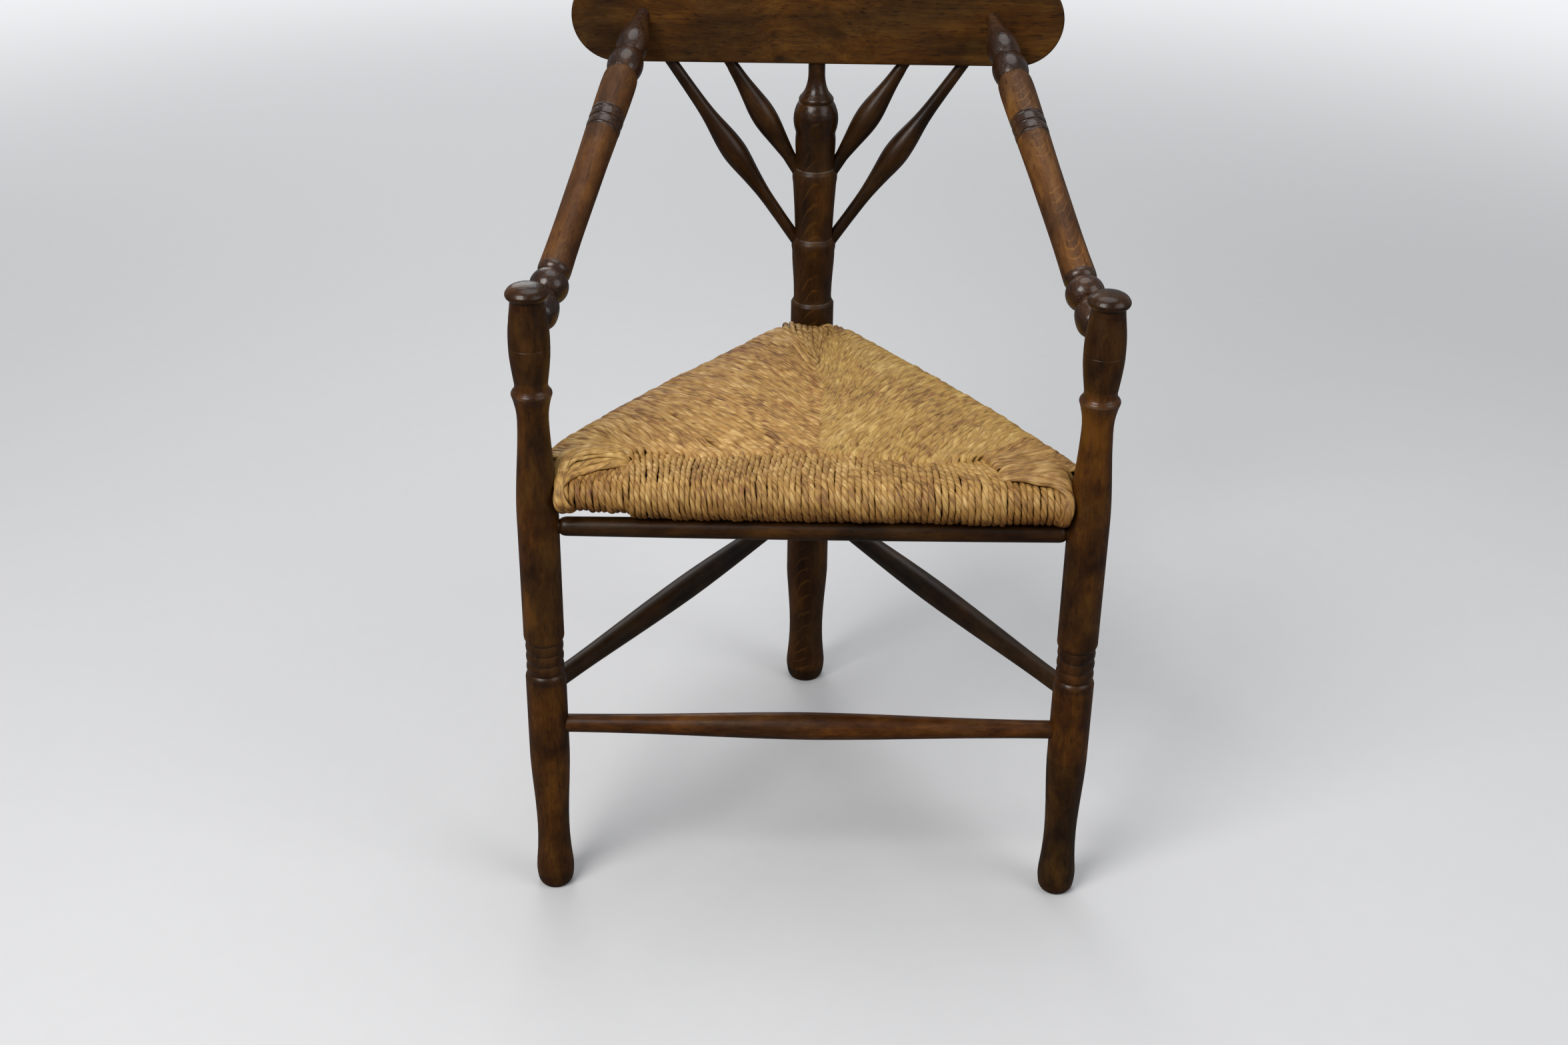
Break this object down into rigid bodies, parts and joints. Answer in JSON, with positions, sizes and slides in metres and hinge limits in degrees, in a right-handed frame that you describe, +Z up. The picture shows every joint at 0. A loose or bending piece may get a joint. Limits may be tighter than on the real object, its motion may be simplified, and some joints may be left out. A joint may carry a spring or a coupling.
{
  "type": "wooden corner chair",
  "caption": "Corner armchair of turned dark wood: three posts, sloping arms, fanned spindles, a rounded back board and a triangular rush seat.",
  "frame": {"origin": "on the floor, under the middle of the chair's bounding box", "axes": "+Z up, +Y to the back (from the front rail to the rear post), +X to a sitter's left when facing the front"},
  "size_m": [0.5084, 0.4103, 0.7706],
  "materials": {
    "dark_wood": "satin varnish",
    "board_wood": "satin varnish",
    "rush": "matte twisted rush"
  },
  "bodies": {
    "root": {"front_post_left": "dark_wood", "front_post_right": "dark_wood", "rear_post": "dark_wood", "back_board": "board_wood", "arm_left": "dark_wood", "arm_right": "dark_wood", "back_spindle_outer_left": "dark_wood", "back_spindle_inner_left": "dark_wood", "back_spindle_inner_right": "dark_wood", "back_spindle_outer_right": "dark_wood", "front_stretcher": "dark_wood", "side_stretcher_left": "dark_wood", "side_stretcher_right": "dark_wood", "apron_rail": "dark_wood", "seat_rail_front": "dark_wood", "seat_rail_left": "dark_wood", "seat_rail_right": "dark_wood", "rush_panel_front": "rush", "rush_panel_left": "rush", "rush_panel_right": "rush"}
  },
  "joints": []
}
